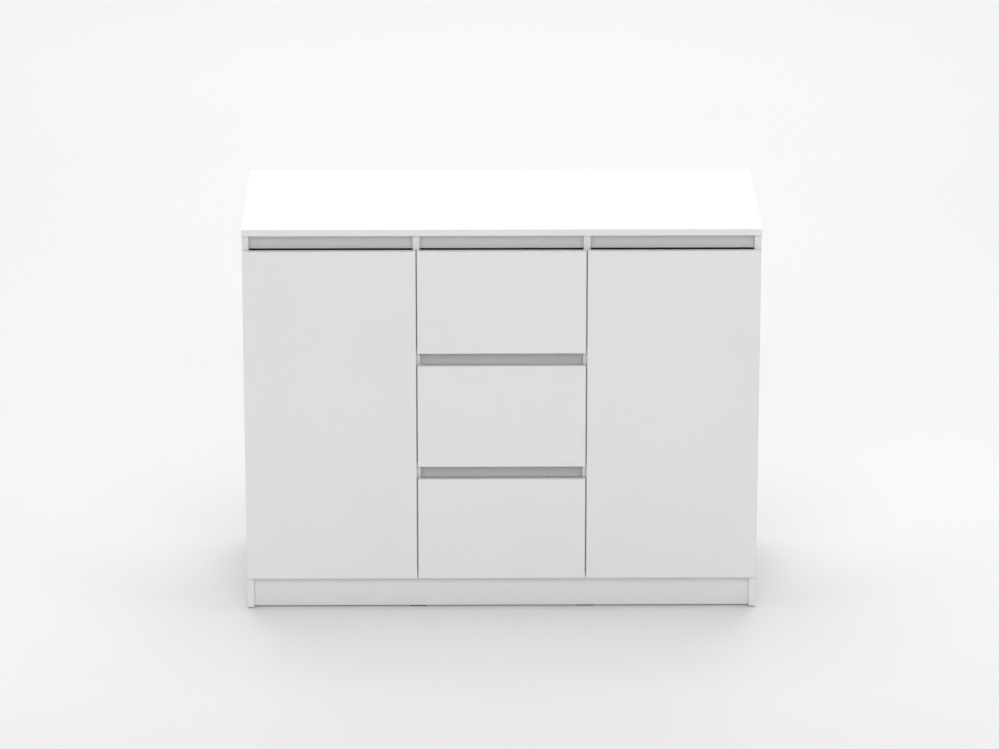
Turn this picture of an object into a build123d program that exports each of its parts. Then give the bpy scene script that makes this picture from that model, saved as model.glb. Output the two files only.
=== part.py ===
from build123d import *
import os

os.makedirs("parts", exist_ok=True)

# A laminated chipboard sideboard: two doors beside a column of three drawers.
# Origin: centre of the footprint on the floor. X runs to the right, the fronts face -Y, Z is up.

# ------------------------------------------------------------------ driving dimensions, mm
WIDTH = 1200.0
DEPTH = 500.0
HEIGHT = 938.0
BOARD = 16.0              # laminated chipboard
HARDBOARD = 3.0           # back panel and drawer bottoms
GLIDE = 3.0               # plastic glides under the panels
FRONT_GAP = 2.0           # air between the fronts and the front edges of the carcass
EDGE_BREAK = 0.5          # small bevel along the edges of the visible boards

FLOOR_BOARD_UNDERSIDE = 80.0
PLINTH_RECESS = 12.0      # from the carcass front edge back to the plinth board
FRONT_BOTTOM = 81.0
FRONT_TOP = 884.0
FINGER_GAP = 31.0         # between the drawer fronts
SIDE_REVEAL = 1.0         # the doors stop this far inside the outer faces
FRONT_SEAM = 3.0          # between a door and a drawer front
DRAWERS = 3

RAIL_HEIGHT = 40.0
RAIL_SETBACK = 20.0       # from the carcass front edge to the rail
RAIL_OVERLAP = 2.0        # a drawer rail rises this far behind the front above it

SHELF_LEVELS = (350.0, 620.0)
SHELF_SETBACK = 27.0
SHELF_SIDE_GAP = 1.0
SHELF_BACK_GAP = 7.0

# ------------------------------------------------------------------ places worked out from them
SIDE_OUT = WIDTH / 2
SIDE_IN = SIDE_OUT - BOARD
BAY = (2 * SIDE_IN - 2 * BOARD) / 3
PARTITION_IN = BAY / 2
PARTITION_OUT = PARTITION_IN + BOARD
PARTITION_MID = PARTITION_IN + BOARD / 2

FRONT_FACE = -DEPTH / 2
FRONT_BACK = FRONT_FACE + BOARD
CARCASS_FRONT = FRONT_BACK + FRONT_GAP
CARCASS_BACK = DEPTH / 2 - HARDBOARD
PLINTH_FRONT = CARCASS_FRONT + PLINTH_RECESS
REAR_PLINTH_BACK = CARCASS_BACK - BOARD
RAIL_FRONT = CARCASS_FRONT + RAIL_SETBACK
RAIL_BACK = RAIL_FRONT + BOARD

TOP_UNDERSIDE = HEIGHT - BOARD
FLOOR_BOARD_TOP = FLOOR_BOARD_UNDERSIDE + BOARD
FRONT_HEIGHT = (FRONT_TOP - FRONT_BOTTOM - (DRAWERS - 1) * FINGER_GAP) / DRAWERS
FRONT_PITCH = FRONT_HEIGHT + FINGER_GAP
FRONT_BOTTOMS = [FRONT_BOTTOM + n * FRONT_PITCH for n in range(DRAWERS)]
DRAWER_RAIL_TOPS = [bottom + FRONT_HEIGHT + FINGER_GAP + RAIL_OVERLAP for bottom in FRONT_BOTTOMS[:-1]]

# ------------------------------------------------------------------ flat-pack fittings
JOINT_Y = (-150.0, 170.0)         # cam joints, front and back
DOWEL_Y = (-60.0, 80.0)
CAM_RADIUS = 7.5
CAM_DEPTH = 12.6
CAM_INSET = 34.0                  # from the jointed edge to the cam's centre
BOLT_RADIUS = 2.5
BOLT_HEAD_RADIUS = 3.0
BOLT_BORE_RADIUS = 3.5
BOLT_THREAD = 11.0
DOWEL_RADIUS = 4.0
DOWEL_LENGTH = 30.0
DOWEL_IN_FACE = 10.0
RAIL_DOWEL_IN_FACE = 7.5          # both sides of a partition carry one
CONFIRMAT_RADIUS = 2.5
CONFIRMAT_HEAD_RADIUS = 5.0
CONFIRMAT_LENGTH = 50.0
CONFIRMAT_HEAD = 3.0
PIN_RADIUS = 2.5
PIN_HOLE_DEPTH = 10.0
PIN_Y = (-170.0, 205.0)
PIN_PITCH = 32.0
FIT = 0.05                        # radial clearance of a pushed-in fitting

# ------------------------------------------------------------------ drawer boxes and roller runners
BOX_RISE = 20.0                   # from a front's bottom edge to its box
BOX_HEIGHT = 180.0
BOX_LENGTH = 450.0
RUNNER_SPACE = 12.5               # each side of a drawer box
SHEET = 1.2                       # runner steel
GROOVE_RISE = 10.0
GROOVE_DEPTH = 8.5
GROOVE_PLAY = 0.1
ROLLER_RADIUS = 7.95
ROLLER_WIDTH = 6.0
AXLE_RADIUS = 2.5
AXLE_FIT = 0.06

BOX_OUT = PARTITION_IN - RUNNER_SPACE
BOX_IN = BOX_OUT - BOARD
BOX_FRONT = FRONT_BACK
BOX_BACK = BOX_FRONT + BOX_LENGTH
BOX_BOTTOMS = [bottom + BOX_RISE for bottom in FRONT_BOTTOMS]
RUNNER_SETBACK = 2.0              # from the carcass front edge
AXLE_INSET = 10.0                 # from a member's end to its roller's axle
RUNNER_FRONT = CARCASS_FRONT + RUNNER_SETBACK
RUNNER_BACK = RUNNER_FRONT + BOX_LENGTH
FRONT_AXLE_Y = RUNNER_FRONT + AXLE_INSET
REAR_AXLE_Y = BOX_BACK - AXLE_INSET
FRONT_AXLE_RISE = 10.0            # above the drawer side's bottom edge
REAR_AXLE_RISE = 7.2
FRONT_FLANGE_RISE = 18.0          # underside of the drawer member's outward flange
CHANNEL_FLOOR = -0.8              # running surface of the cabinet member
CHANNEL_ROOF = 16.2
CHANNEL_WIDTH = 9.5
ROLLER_WALL_GAP = 3.0             # from the partition to the roller
SCREW_RADIUS = 1.75
SCREW_HEAD_RADIUS = 3.3
SCREW_HEAD = 1.5
SCREW_LENGTH = 13.0
SCREW_HOLE_RADIUS = 1.9
SCREW_SLOT = 4.0
SCREW_SLOT_WIDTH = 0.8
SCREW_SLOT_DEPTH = 0.9

# ------------------------------------------------------------------ concealed cup hinges
HINGE_LEVELS = (181.0, 784.0)
CUP_FROM_EDGE = 22.0              # door edge to cup centre
CUP_RADIUS = 17.5
CUP_WALL = 1.5
CUP_DEPTH = 11.5
CUP_FLANGE = 1.2
PLATE_SETBACK = 37.0              # carcass front edge to the mounting plate's screw line
PLATE_SCREW_RISE = 16.0
PIVOT_RADIUS = 1.25
PIVOT_FIT = 0.05


def save(piece, name):
    """Label a finished sub-part and write it to its own file."""
    piece.part.label = name
    export_step(piece.part, f"parts/{name}.step")


def board(x_limits, y_limits, z_limits, mode=Mode.ADD):
    """A rectangular board, or the space for one, between limits on each axis."""
    centre = [sum(limits) / 2 for limits in (x_limits, y_limits, z_limits)]
    size = [limits[1] - limits[0] for limits in (x_limits, y_limits, z_limits)]
    with Locations(tuple(centre)):
        Box(*size, mode=mode)


def rod(start, direction, radius, length, mode=Mode.ADD):
    """A round rod, or a drilled bore, from a start point along a direction."""
    with Locations(Plane(start, z_dir=direction)):
        Cylinder(radius, length, align=(Align.CENTER, Align.CENTER, Align.MIN), mode=mode)


def mirrored(source, name):
    """The right-hand copy of a left-hand sub-part."""
    with BuildPart() as copy:
        mirror(source.part, about=Plane.YZ)
    save(copy, name)


def cross_slot(length, width, depth):
    """A screwdriver's cross, cut from its floor along the current location's axis."""
    for along, across in ((length, width), (width, length)):
        Box(along, across, depth, align=(Align.CENTER, Align.CENTER, Align.MIN), mode=Mode.SUBTRACT)


def screw(head_base, direction, length=SCREW_LENGTH):
    """A pan-head cross-slot screw whose head stands on head_base; it is driven along direction."""
    outward = Vector(direction) * -1
    rod(head_base, direction, SCREW_RADIUS, length)
    rod(head_base, outward, SCREW_HEAD_RADIUS, SCREW_HEAD)
    slot_floor = Vector(head_base) + outward * (SCREW_HEAD - SCREW_SLOT_DEPTH)
    with Locations(Plane(slot_floor, z_dir=outward)):
        cross_slot(SCREW_SLOT, SCREW_SLOT_WIDTH, SCREW_SLOT_DEPTH)


# ------------------------------------------------------------------ cam joints, dowels, shelf holes
def top_joint_bores(face_x, into):
    """Cams in an upright's face, with bolts and dowels that rise into the top panel."""
    middle = face_x + into * BOARD / 2
    for y in JOINT_Y:
        rod((face_x, y, TOP_UNDERSIDE - CAM_INSET), (into, 0, 0), CAM_RADIUS, CAM_DEPTH, Mode.SUBTRACT)
        rod((middle, y, TOP_UNDERSIDE), (0, 0, -1), BOLT_BORE_RADIUS, CAM_INSET, Mode.SUBTRACT)
    for y in DOWEL_Y:
        rod((middle, y, TOP_UNDERSIDE), (0, 0, -1), DOWEL_RADIUS, DOWEL_LENGTH - DOWEL_IN_FACE, Mode.SUBTRACT)


def shelf_pin_holes(face_x, into):
    """Three holes, one shelf-pin pitch apart, at each place where a shelf can rest."""
    for level in SHELF_LEVELS:
        for step in (-1, 0, 1):
            for y in PIN_Y:
                start = (face_x, y, level - PIN_RADIUS + step * PIN_PITCH)
                rod(start, (into, 0, 0), PIN_RADIUS, PIN_HOLE_DEPTH, Mode.SUBTRACT)


def rail_levels(middle_bay):
    """Mid-heights of the rails that end on an upright."""
    levels = [TOP_UNDERSIDE - RAIL_HEIGHT / 2]
    if middle_bay:
        levels += [top - RAIL_HEIGHT / 2 for top in DRAWER_RAIL_TOPS]
    return levels


def rail_dowel_bores(face_x, into, middle_bay):
    """Dowel bores in an upright's face for the ends of the rails."""
    for level in rail_levels(middle_bay):
        start = (face_x, (RAIL_FRONT + RAIL_BACK) / 2, level)
        rod(start, (into, 0, 0), DOWEL_RADIUS, RAIL_DOWEL_IN_FACE, Mode.SUBTRACT)


PLINTH_DOWEL_Z = (GLIDE + FLOOR_BOARD_UNDERSIDE) / 2
PLINTH_MID_Y = (PLINTH_FRONT + BOARD / 2, REAR_PLINTH_BACK - BOARD / 2)
FLOOR_BOARD_MID = (FLOOR_BOARD_UNDERSIDE + FLOOR_BOARD_TOP) / 2

# ------------------------------------------------------------------ carcass panels
with BuildPart() as top_panel:
    board((-SIDE_OUT, SIDE_OUT), (FRONT_FACE, DEPTH / 2), (TOP_UNDERSIDE, HEIGHT))
    chamfer(top_panel.edges(), EDGE_BREAK)
    for x in (-1, 1):
        for upright in (SIDE_IN + BOARD / 2, PARTITION_MID):
            for y in JOINT_Y:
                rod((x * upright, y, TOP_UNDERSIDE), (0, 0, 1), BOLT_RADIUS, BOLT_THREAD, Mode.SUBTRACT)
            for y in DOWEL_Y:
                rod((x * upright, y, TOP_UNDERSIDE), (0, 0, 1), DOWEL_RADIUS, DOWEL_IN_FACE, Mode.SUBTRACT)
save(top_panel, "top_panel")

with BuildPart() as left_side_panel:
    board((-SIDE_OUT, -SIDE_IN), (CARCASS_FRONT, CARCASS_BACK), (GLIDE, TOP_UNDERSIDE))
    chamfer(left_side_panel.edges(), EDGE_BREAK)
    top_joint_bores(-SIDE_IN, -1)
    shelf_pin_holes(-SIDE_IN, -1)
    rail_dowel_bores(-SIDE_IN, -1, middle_bay=False)
    for y in JOINT_Y:
        rod((-SIDE_IN, y, FLOOR_BOARD_MID), (-1, 0, 0), BOLT_RADIUS, BOLT_THREAD, Mode.SUBTRACT)
    for y in DOWEL_Y:
        rod((-SIDE_IN, y, FLOOR_BOARD_MID), (-1, 0, 0), DOWEL_RADIUS, DOWEL_IN_FACE, Mode.SUBTRACT)
    for y in PLINTH_MID_Y:
        rod((-SIDE_IN, y, PLINTH_DOWEL_Z), (-1, 0, 0), DOWEL_RADIUS, DOWEL_IN_FACE, Mode.SUBTRACT)
save(left_side_panel, "left_side_panel")
mirrored(left_side_panel, "right_side_panel")

with BuildPart() as left_partition:
    board((-PARTITION_OUT, -PARTITION_IN), (CARCASS_FRONT, CARCASS_BACK), (FLOOR_BOARD_TOP, TOP_UNDERSIDE))
    chamfer(left_partition.edges(), EDGE_BREAK)
    top_joint_bores(-PARTITION_OUT, 1)
    shelf_pin_holes(-PARTITION_OUT, 1)
    rail_dowel_bores(-PARTITION_OUT, 1, middle_bay=False)
    rail_dowel_bores(-PARTITION_IN, -1, middle_bay=True)
    for y in JOINT_Y:
        screw_in_edge = CONFIRMAT_LENGTH - BOARD
        rod((-PARTITION_MID, y, FLOOR_BOARD_TOP), (0, 0, 1), CONFIRMAT_RADIUS, screw_in_edge, Mode.SUBTRACT)
save(left_partition, "left_partition")
mirrored(left_partition, "right_partition")

with BuildPart() as bottom_panel:
    board((-SIDE_IN, SIDE_IN), (CARCASS_FRONT, CARCASS_BACK), (FLOOR_BOARD_UNDERSIDE, FLOOR_BOARD_TOP))
    for x in (-1, 1):
        for y in JOINT_Y:
            cam = (x * (SIDE_IN - CAM_INSET), y, FLOOR_BOARD_UNDERSIDE)
            rod(cam, (0, 0, 1), CAM_RADIUS, CAM_DEPTH, Mode.SUBTRACT)
            rod((x * SIDE_IN, y, FLOOR_BOARD_MID), (-x, 0, 0), BOLT_BORE_RADIUS, CAM_INSET, Mode.SUBTRACT)
            head = (x * PARTITION_MID, y, FLOOR_BOARD_UNDERSIDE)
            rod(head, (0, 0, 1), CONFIRMAT_HEAD_RADIUS + FIT, CONFIRMAT_HEAD, Mode.SUBTRACT)
            rod(head, (0, 0, 1), CONFIRMAT_RADIUS + FIT, BOARD, Mode.SUBTRACT)
        for y in DOWEL_Y:
            depth = DOWEL_LENGTH - DOWEL_IN_FACE
            rod((x * SIDE_IN, y, FLOOR_BOARD_MID), (-x, 0, 0), DOWEL_RADIUS, depth, Mode.SUBTRACT)
save(bottom_panel, "bottom_panel")


def plinth(front_y):
    """A board on edge under the bottom panel, dowelled into the side panels."""
    board((-SIDE_IN, SIDE_IN), (front_y, front_y + BOARD), (GLIDE, FLOOR_BOARD_UNDERSIDE))
    for x in (-1, 1):
        start = (x * SIDE_IN, front_y + BOARD / 2, PLINTH_DOWEL_Z)
        rod(start, (-x, 0, 0), DOWEL_RADIUS, DOWEL_LENGTH - DOWEL_IN_FACE, Mode.SUBTRACT)


with BuildPart() as plinth_board:
    plinth(PLINTH_FRONT)
save(plinth_board, "plinth_board")

with BuildPart() as rear_plinth_board:
    plinth(REAR_PLINTH_BACK - BOARD)
save(rear_plinth_board, "rear_plinth_board")


def rail(x_limits, top):
    """A rail on edge between two uprights, with a dowel bore in each end."""
    board(x_limits, (RAIL_FRONT, RAIL_BACK), (top - RAIL_HEIGHT, top))
    for x, inward in ((x_limits[0], 1), (x_limits[1], -1)):
        start = (x, (RAIL_FRONT + RAIL_BACK) / 2, top - RAIL_HEIGHT / 2)
        rod(start, (inward, 0, 0), DOWEL_RADIUS, DOWEL_LENGTH - RAIL_DOWEL_IN_FACE, Mode.SUBTRACT)


with BuildPart() as top_rails:
    rail((-SIDE_IN, -PARTITION_OUT), TOP_UNDERSIDE)
    rail((-PARTITION_IN, PARTITION_IN), TOP_UNDERSIDE)
    rail((PARTITION_OUT, SIDE_IN), TOP_UNDERSIDE)
save(top_rails, "top_rails")

with BuildPart() as drawer_rails:
    for top in DRAWER_RAIL_TOPS:
        rail((-PARTITION_IN, PARTITION_IN), top)
save(drawer_rails, "drawer_rails")

# ------------------------------------------------------------------ back panel and its nails
BACK_EDGE = 1.0                   # the back panel stops this far inside the outer faces
NAIL_RADIUS = 0.8
NAIL_HEAD_RADIUS = 1.9
NAIL_HEAD = 0.6
NAIL_LENGTH = 22.0
NAIL_SUNK = 0.1
NAILS_UP = 6
NAILS_ALONG = 8
NAIL_INSET = 40.0                 # from an upright's ends to its end nails
nail_low = FLOOR_BOARD_TOP + NAIL_INSET
nail_high = TOP_UNDERSIDE - NAIL_INSET
nail_places = []
for upright in (-SIDE_IN - BOARD / 2, -PARTITION_MID, PARTITION_MID, SIDE_IN + BOARD / 2):
    for n in range(NAILS_UP):
        nail_places.append((upright, nail_low + n * (nail_high - nail_low) / (NAILS_UP - 1)))
for n in range(NAILS_ALONG):
    nail_places.append((-SIDE_IN + (n + 0.5) * 2 * SIDE_IN / NAILS_ALONG, FLOOR_BOARD_MID))

with BuildPart() as back_panel:
    back_low = FLOOR_BOARD_UNDERSIDE + BACK_EDGE
    back_high = TOP_UNDERSIDE - BACK_EDGE
    board((BACK_EDGE - SIDE_OUT, SIDE_OUT - BACK_EDGE), (CARCASS_BACK, DEPTH / 2), (back_low, back_high))
    for x, z in nail_places:
        rod((x, CARCASS_BACK, z), (0, 1, 0), NAIL_RADIUS + FIT, HARDBOARD, Mode.SUBTRACT)
        head_depth = NAIL_HEAD + NAIL_SUNK
        rod((x, DEPTH / 2, z), (0, -1, 0), NAIL_HEAD_RADIUS + FIT, head_depth, Mode.SUBTRACT)
save(back_panel, "back_panel")

with BuildPart() as back_panel_nails:
    for x, z in nail_places:
        rod((x, DEPTH / 2 - NAIL_SUNK, z), (0, -1, 0), NAIL_HEAD_RADIUS, NAIL_HEAD)
        rod((x, DEPTH / 2 - NAIL_SUNK, z), (0, -1, 0), NAIL_RADIUS, NAIL_LENGTH)
save(back_panel_nails, "back_panel_nails")

# ------------------------------------------------------------------ glides
GLIDE_LENGTH = 40.0
GLIDE_WIDTH = 12.0
GLIDE_INSET = 12.0
with BuildPart() as glides:
    side_mid = SIDE_IN + BOARD / 2
    front_limits = (CARCASS_FRONT + GLIDE_INSET, CARCASS_FRONT + GLIDE_INSET + GLIDE_LENGTH)
    back_limits = (CARCASS_BACK - GLIDE_INSET - GLIDE_LENGTH, CARCASS_BACK - GLIDE_INSET)
    for x in (-side_mid, side_mid):
        for y_limits in (front_limits, back_limits):
            board((x - GLIDE_WIDTH / 2, x + GLIDE_WIDTH / 2), y_limits, (0, GLIDE))
    for x in (-PARTITION_MID, PARTITION_MID):
        for y in PLINTH_MID_Y:
            x_limits = (x - GLIDE_LENGTH / 2, x + GLIDE_LENGTH / 2)
            board(x_limits, (y - GLIDE_WIDTH / 2, y + GLIDE_WIDTH / 2), (0, GLIDE))
save(glides, "glides")

# ------------------------------------------------------------------ cams, bolts, dowels, screws
CAM_PLAY = 0.1
CAM_SLOT = 6.0
CAM_SLOT_WIDTH = 1.2
CAM_SLOT_DEPTH = 2.0
CAM_GRIP = 4.0                    # from the cam's centre to the middle of the cut for the bolt
BOLT_NECK_RADIUS = 2.0
BOLT_HEAD = 3.0
BOLT_END_GAP = 1.0


def cam(centre, inward, towards_bolt):
    """A cam disc sunk in a face, with a slot for the bolt's head and a cross for the screwdriver."""
    with Locations(Plane(centre, x_dir=towards_bolt, z_dir=inward)):
        Cylinder(
            CAM_RADIUS - CAM_PLAY,
            CAM_DEPTH - CAM_PLAY,
            align=(Align.CENTER, Align.CENTER, Align.MIN),
        )
        cross_slot(CAM_SLOT, CAM_SLOT_WIDTH, CAM_SLOT_DEPTH)
    slot_start = Vector(centre) + Vector(inward) * (BOARD / 2 - BOLT_BORE_RADIUS)
    with Locations(Plane(slot_start, x_dir=towards_bolt, z_dir=inward)):
        slot = (2 * CAM_RADIUS, 2 * BOLT_BORE_RADIUS, CAM_DEPTH)
        with Locations((CAM_GRIP, 0, 0)):
            Box(*slot, align=(Align.CENTER, Align.CENTER, Align.MIN), mode=Mode.SUBTRACT)


with BuildPart() as cam_locks:
    for y in JOINT_Y:
        cam((-SIDE_IN, y, TOP_UNDERSIDE - CAM_INSET), (-1, 0, 0), (0, 0, 1))
        cam((-PARTITION_OUT, y, TOP_UNDERSIDE - CAM_INSET), (1, 0, 0), (0, 0, 1))
        cam((CAM_INSET - SIDE_IN, y, FLOOR_BOARD_UNDERSIDE), (0, 0, 1), (-1, 0, 0))
    mirror(about=Plane.YZ)
save(cam_locks, "cam_locks")


def cam_bolt(edge_point, into_face):
    """A threaded pin in a board's face whose head is held by a cam in the other board."""
    backwards = Vector(into_face) * -1
    rod(edge_point, into_face, BOLT_RADIUS, BOLT_THREAD)
    rod(edge_point, backwards, BOLT_NECK_RADIUS, CAM_INSET - BOLT_END_GAP)
    head_start = Vector(edge_point) + backwards * (CAM_INSET - BOLT_HEAD)
    rod(head_start, backwards, BOLT_HEAD_RADIUS, BOLT_HEAD)


with BuildPart() as cam_bolts:
    for y in JOINT_Y:
        cam_bolt((-SIDE_IN - BOARD / 2, y, TOP_UNDERSIDE), (0, 0, 1))
        cam_bolt((-PARTITION_MID, y, TOP_UNDERSIDE), (0, 0, 1))
        cam_bolt((-SIDE_IN, y, FLOOR_BOARD_MID), (-1, 0, 0))
    mirror(about=Plane.YZ)
save(cam_bolts, "cam_bolts")


def dowel(face_point, into_face, in_face=DOWEL_IN_FACE):
    """A fluted beech dowel, drawn as its round core, across the joint at face_point."""
    start = Vector(face_point) + Vector(into_face) * in_face
    rod(start, Vector(into_face) * -1, DOWEL_RADIUS, DOWEL_LENGTH)


with BuildPart() as dowels:
    rail_mid_y = (RAIL_FRONT + RAIL_BACK) / 2
    for y in DOWEL_Y:
        dowel((-SIDE_IN - BOARD / 2, y, TOP_UNDERSIDE), (0, 0, 1))
        dowel((-PARTITION_MID, y, TOP_UNDERSIDE), (0, 0, 1))
        dowel((-SIDE_IN, y, FLOOR_BOARD_MID), (-1, 0, 0))
    for y in PLINTH_MID_Y:
        dowel((-SIDE_IN, y, PLINTH_DOWEL_Z), (-1, 0, 0))
    for level in rail_levels(middle_bay=False):
        dowel((-SIDE_IN, rail_mid_y, level), (-1, 0, 0), RAIL_DOWEL_IN_FACE)
        dowel((-PARTITION_OUT, rail_mid_y, level), (1, 0, 0), RAIL_DOWEL_IN_FACE)
    for level in rail_levels(middle_bay=True):
        dowel((-PARTITION_IN, rail_mid_y, level), (-1, 0, 0), RAIL_DOWEL_IN_FACE)
    mirror(about=Plane.YZ)
save(dowels, "dowels")

with BuildPart() as confirmat_screws:
    for y in JOINT_Y:
        head = (-PARTITION_MID, y, FLOOR_BOARD_UNDERSIDE)
        rod(head, (0, 0, 1), CONFIRMAT_RADIUS, CONFIRMAT_LENGTH)
        rod(head, (0, 0, 1), CONFIRMAT_HEAD_RADIUS, CONFIRMAT_HEAD)
    mirror(about=Plane.YZ)
save(confirmat_screws, "confirmat_screws")

# ------------------------------------------------------------------ shelves and shelf pins
PIN_IN_HOLE = 9.0
PIN_OUT = 9.0
PIN_COLLAR_RADIUS = 4.0
PIN_COLLAR = 0.8


def shelf_pin(face_x, into, y, level):
    """A steel pin in an upright's hole, with a collar that sits against the face."""
    centre_z = level - PIN_RADIUS
    rod((face_x + into * PIN_IN_HOLE, y, centre_z), (-into, 0, 0), PIN_RADIUS, PIN_IN_HOLE + PIN_OUT)
    rod((face_x, y, centre_z), (-into, 0, 0), PIN_COLLAR_RADIUS, PIN_COLLAR)


with BuildPart() as left_shelves:
    for level in SHELF_LEVELS:
        shelf_x = (SHELF_SIDE_GAP - SIDE_IN, -PARTITION_OUT - SHELF_SIDE_GAP)
        shelf_y = (CARCASS_FRONT + SHELF_SETBACK, CARCASS_BACK - SHELF_BACK_GAP)
        board(shelf_x, shelf_y, (level, level + BOARD))
save(left_shelves, "left_shelves")
mirrored(left_shelves, "right_shelves")

with BuildPart() as shelf_pins:
    for level in SHELF_LEVELS:
        for y in PIN_Y:
            shelf_pin(-SIDE_IN, -1, y, level)
            shelf_pin(-PARTITION_OUT, 1, y, level)
    mirror(about=Plane.YZ)
save(shelf_pins, "shelf_pins")

# ------------------------------------------------------------------ bumpers behind the fronts
BUMPER_RADIUS = 2.8
BUMPER_HEIGHT = 1.7
BUMPER_OFFSET = 4.6               # from the partition's middle to a bumper
BUMPER_INSET = 60.0               # from the ends of a front
with BuildPart() as front_bumpers:
    door_side = -PARTITION_MID - BUMPER_OFFSET
    drawer_side = -PARTITION_MID + BUMPER_OFFSET
    for z in (FRONT_BOTTOM + BUMPER_INSET, FRONT_TOP - BUMPER_INSET):
        rod((door_side, CARCASS_FRONT, z), (0, -1, 0), BUMPER_RADIUS, BUMPER_HEIGHT)
    for bottom in FRONT_BOTTOMS:
        bumper_z = bottom + FRONT_HEIGHT - BUMPER_INSET
        rod((drawer_side, CARCASS_FRONT, bumper_z), (0, -1, 0), BUMPER_RADIUS, BUMPER_HEIGHT)
    mirror(about=Plane.YZ)
save(front_bumpers, "front_bumpers")

# ------------------------------------------------------------------ doors
DOOR_OUT = SIDE_OUT - SIDE_REVEAL
DOOR_IN = PARTITION_MID + FRONT_SEAM / 2
CUP_X = -(DOOR_OUT - CUP_FROM_EDGE)
CUP_BORE_GAP = 0.3                # under the bottom of a cup
CUP_BORE = CUP_DEPTH + CUP_BORE_GAP

with BuildPart() as left_door:
    board((-DOOR_OUT, -DOOR_IN), (FRONT_FACE, FRONT_BACK), (FRONT_BOTTOM, FRONT_TOP))
    chamfer(left_door.edges(), EDGE_BREAK)
    for level in HINGE_LEVELS:
        rod((CUP_X, FRONT_BACK, level), (0, -1, 0), CUP_RADIUS + FIT, CUP_BORE, Mode.SUBTRACT)
save(left_door, "left_door")
mirrored(left_door, "right_door")

# ------------------------------------------------------------------ drawers
FRONT_HALF = PARTITION_MID - FRONT_SEAM / 2
GROOVE_END_PLAY = 0.5
BOTTOM_OUT = BOX_IN + GROOVE_DEPTH - GROOVE_END_PLAY
BOTTOM_FRONT = BOX_FRONT - GROOVE_DEPTH + GROOVE_END_PLAY
DRAWER_DOWEL_RISES = (40.0, 140.0)
DRAWER_SCREW_RISES = (50.0, 130.0)
MEMBER_SCREWS_Y = (-190.0, 0.0, 170.0)
MEMBER_SCREW_LENGTH = 10.0
CHANNEL_SCREWS_Y = (-185.0, -20.0, 190.0)
CHANNEL_SCREW_RISE = 8.0
DRAWER_SIDE_MID = (BOX_OUT + BOX_IN) / 2
FLANGE_WALL_GAP = 2.5             # from the partition to the drawer member's flange
MEMBER_LIP = 1.0                  # bare strip of a drawer side's bottom edge beside its member
AXLE_PROUD = 0.5                  # a stub axle stands this far past its roller
ROOF_GAP = 3.0                    # from the front roller to the channel's upper flange

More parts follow.
